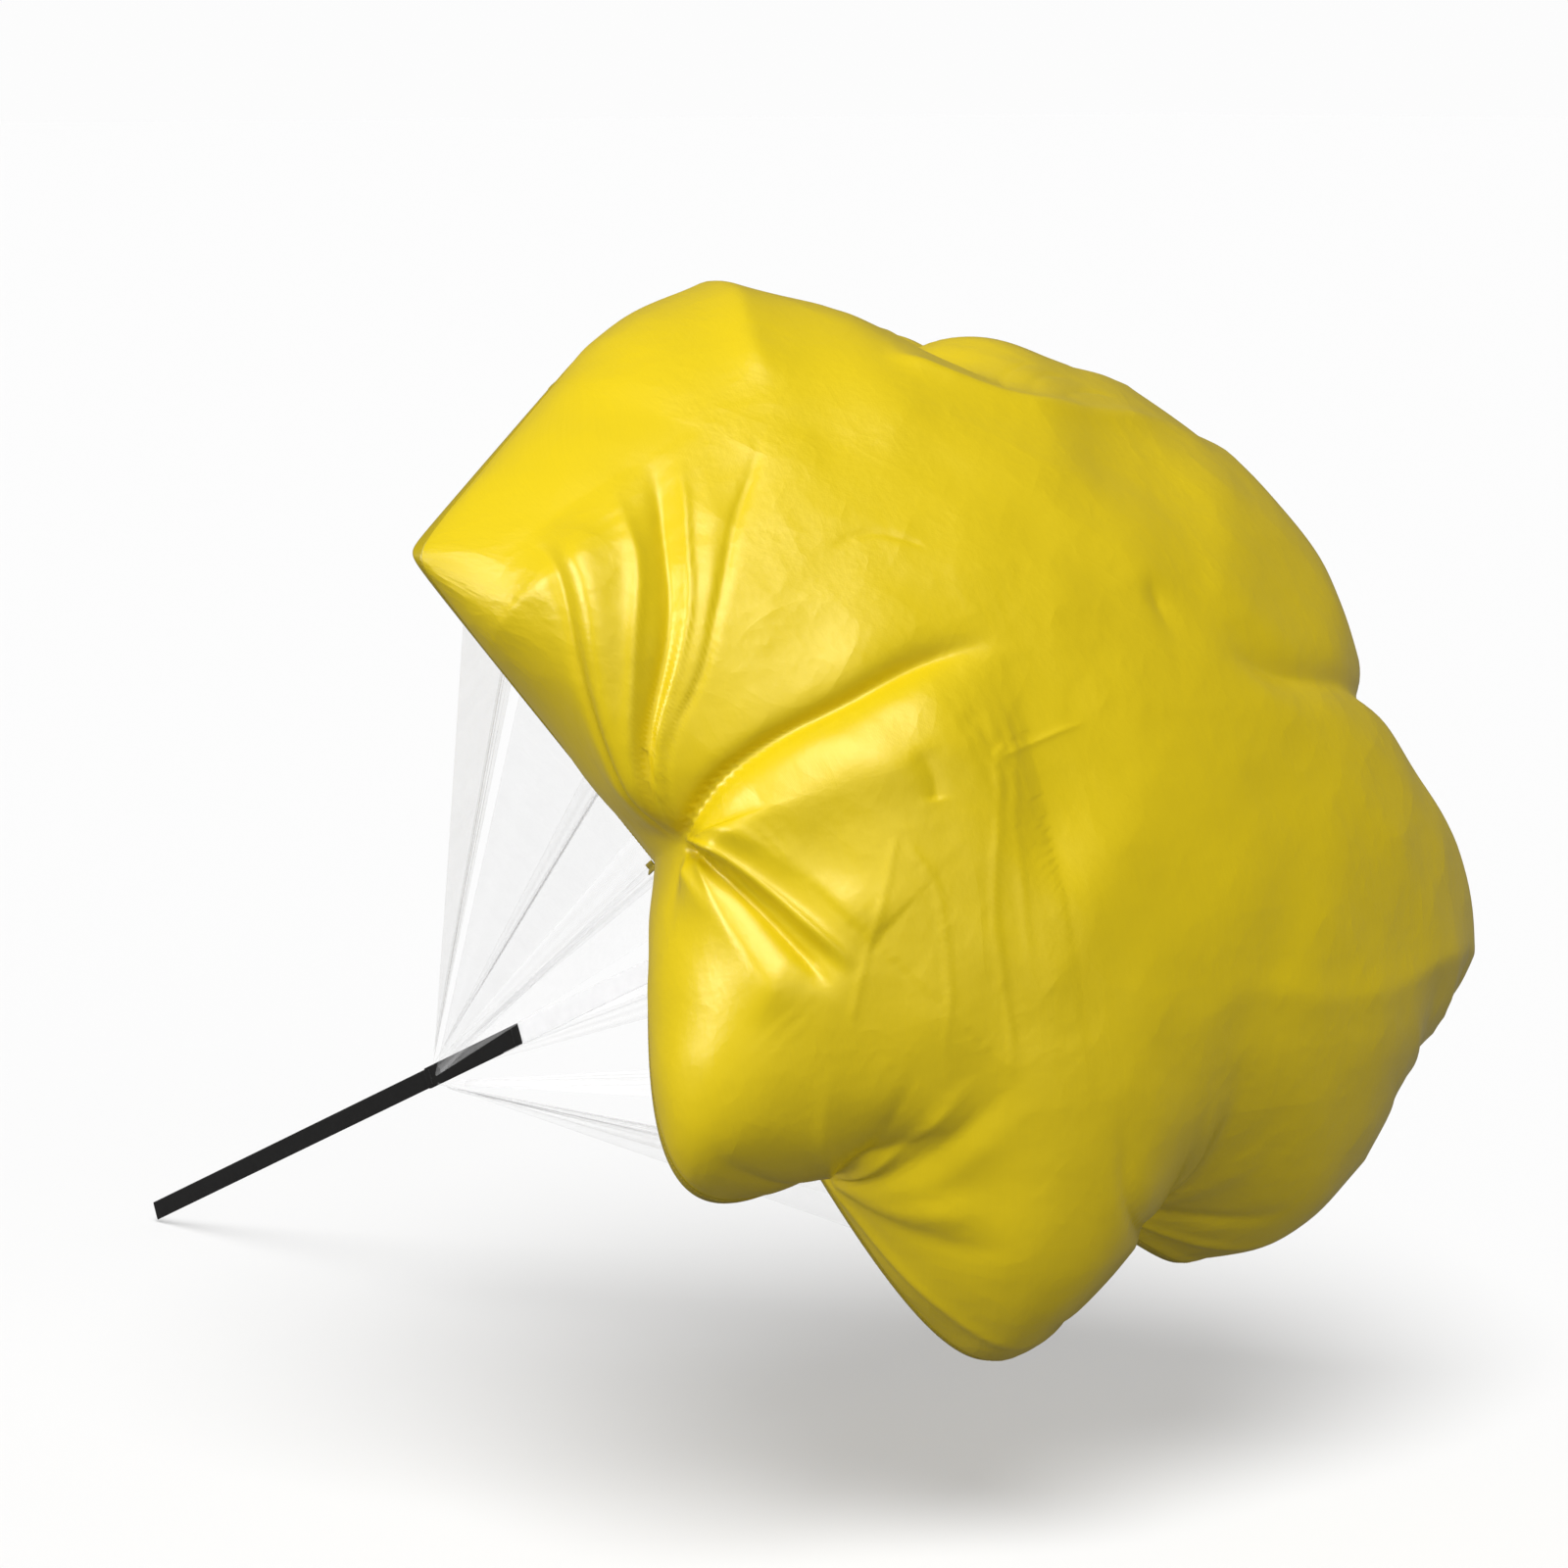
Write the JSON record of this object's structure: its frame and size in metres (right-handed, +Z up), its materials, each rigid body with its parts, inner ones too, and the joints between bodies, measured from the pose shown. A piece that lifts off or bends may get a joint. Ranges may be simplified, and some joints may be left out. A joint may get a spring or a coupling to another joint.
{
  "type": "speed training parachute",
  "caption": "Open drag parachute for sprint training: lobed cloth canopy, white net panels that gather its rim, centre tape, doubled webbing sleeve and a flat tow strap.",
  "frame": {"origin": "middle of the tow strap's cut free end, where a belt or hand holds it", "axes": "+Z up, +X forward along the ground under the pull line, which rises 24 degrees from +X in the XZ plane to the canopy's crown"},
  "size_m": [2.0969, 1.3146, 1.3419],
  "materials": {
    "yellow_cloth": "satin, thin woven polyester",
    "yellow_hem": "satin, folded and stitched",
    "white_net": "fine see-through net",
    "white_tape": "matt woven tape",
    "black_webbing": "matt woven webbing",
    "black_thread": "stitching"
  },
  "bodies": {
    "strap": {"tow_strap": "black_webbing"},
    "sleeve": {"webbing_sleeve": "black_webbing", "sleeve_tack_1": "black_thread", "sleeve_tack_2": "black_thread", "sleeve_tack_3": "black_thread", "sleeve_tack_4": "black_thread"},
    "chute": {"canopy": "yellow_cloth", "rim_hem": "yellow_hem", "crown_patch": "white_tape", "centre_tape": "white_tape", "net_panel_1": "white_net", "net_panel_2": "white_net", "net_panel_3": "white_net", "net_panel_4": "white_net", "net_panel_5": "white_net", "net_panel_6": "white_net", "net_panel_7": "white_net", "net_panel_8": "white_net", "seam_tape_1": "white_tape", "seam_tape_2": "white_tape", "seam_tape_3": "white_tape", "seam_tape_4": "white_tape", "seam_tape_5": "white_tape", "seam_tape_6": "white_tape", "seam_tape_7": "white_tape", "seam_tape_8": "white_tape", "gather_tack_1": "yellow_hem", "gather_tack_2": "yellow_hem", "gather_tack_3": "yellow_hem", "gather_tack_4": "yellow_hem", "gather_tack_5": "yellow_hem", "gather_tack_6": "yellow_hem", "gather_tack_7": "yellow_hem", "gather_tack_8": "yellow_hem"}
  },
  "joints": [
    {"name": "strap_flex", "type": "hinge", "parent": "strap", "child": "sleeve", "pos_m": [0.64204, 0, 0.28586], "axis": [-0.4067, 0, 0.9135], "range_deg": [-80, 80]},
    {"name": "net_tilt", "type": "hinge", "parent": "sleeve", "child": "chute", "pos_m": [0.66214, 0, 0.2948], "axis": [0, 1, 0], "range_deg": [-12, 12]}
  ]
}
